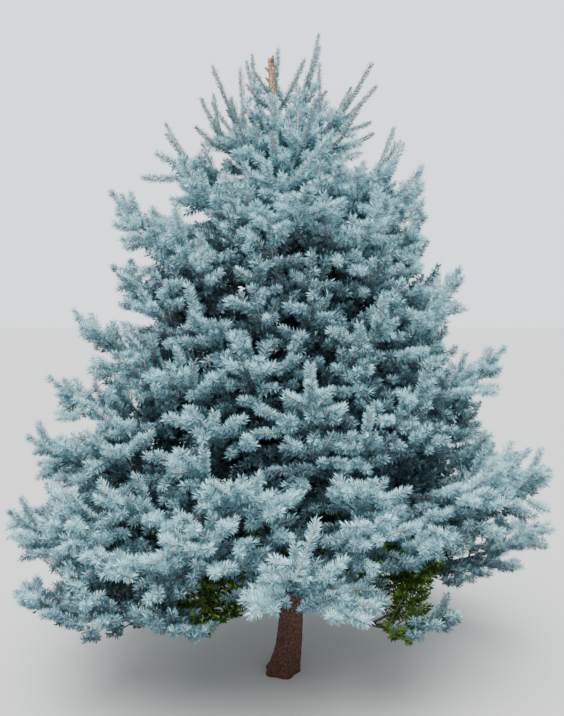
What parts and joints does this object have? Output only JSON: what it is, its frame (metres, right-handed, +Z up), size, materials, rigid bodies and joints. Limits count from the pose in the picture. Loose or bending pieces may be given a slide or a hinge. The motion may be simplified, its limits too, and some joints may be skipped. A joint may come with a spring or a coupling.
{
  "type": "blue spruce tree",
  "caption": "Whole blue spruce tree: leaning, tapering trunk cut flat at ground level, whorls of boughs and layered masses of silver-blue needle foliage.",
  "frame": {"origin": "middle of the flat cut under the trunk, at ground level", "axes": "+Z up along the tree, +X to the right and -Y towards the viewer of the picture"},
  "size_m": [2.2181, 1.9813, 2.6426],
  "materials": {
    "bark": "rough, scaly reddish brown spruce bark",
    "foliage": "matt silver-blue waxy needles"
  },
  "bodies": {
    "root": {"trunk": "bark", "bough_skirt_1": "bark", "bough_skirt_2": "bark", "bough_skirt_3": "bark", "bough_skirt_4": "bark", "bough_skirt_5": "bark", "foliage_crown_1": "foliage", "foliage_crown_2": "foliage", "foliage_crown_3": "foliage", "foliage_crown_4": "foliage", "foliage_crown_5": "foliage", "foliage_crown_6": "foliage", "foliage_high_1": "foliage", "foliage_high_2": "foliage", "foliage_high_3": "foliage", "foliage_high_4": "foliage", "foliage_high_5": "foliage", "foliage_high_6": "foliage", "foliage_high_7": "foliage", "foliage_leader_1": "foliage", "foliage_leader_2": "foliage", "foliage_leader_3": "foliage", "foliage_leader_4": "foliage", "foliage_low_1": "foliage", "foliage_low_2": "foliage", "foliage_low_3": "foliage", "foliage_low_4": "foliage", "foliage_low_5": "foliage", "foliage_low_6": "foliage", "foliage_low_7": "foliage", "foliage_middle_1": "foliage", "foliage_middle_2": "foliage", "foliage_middle_3": "foliage", "foliage_middle_4": "foliage", "foliage_middle_5": "foliage", "foliage_middle_6": "foliage", "foliage_middle_7": "foliage", "foliage_skirt_1": "foliage", "foliage_skirt_2": "foliage", "foliage_skirt_3": "foliage", "foliage_skirt_4": "foliage", "foliage_skirt_5": "foliage", "foliage_spire_1": "foliage", "foliage_spire_2": "foliage", "foliage_spire_3": "foliage", "foliage_spire_4": "foliage", "foliage_upper_1": "foliage", "foliage_upper_2": "foliage", "foliage_upper_3": "foliage", "foliage_upper_4": "foliage", "foliage_upper_5": "foliage", "foliage_upper_6": "foliage", "foliage_upper_7": "foliage", "foliage_wide_1": "foliage", "foliage_wide_2": "foliage", "foliage_wide_3": "foliage", "foliage_wide_4": "foliage", "foliage_wide_5": "foliage", "foliage_wide_6": "foliage", "foliage_wide_7": "foliage"}
  },
  "joints": []
}
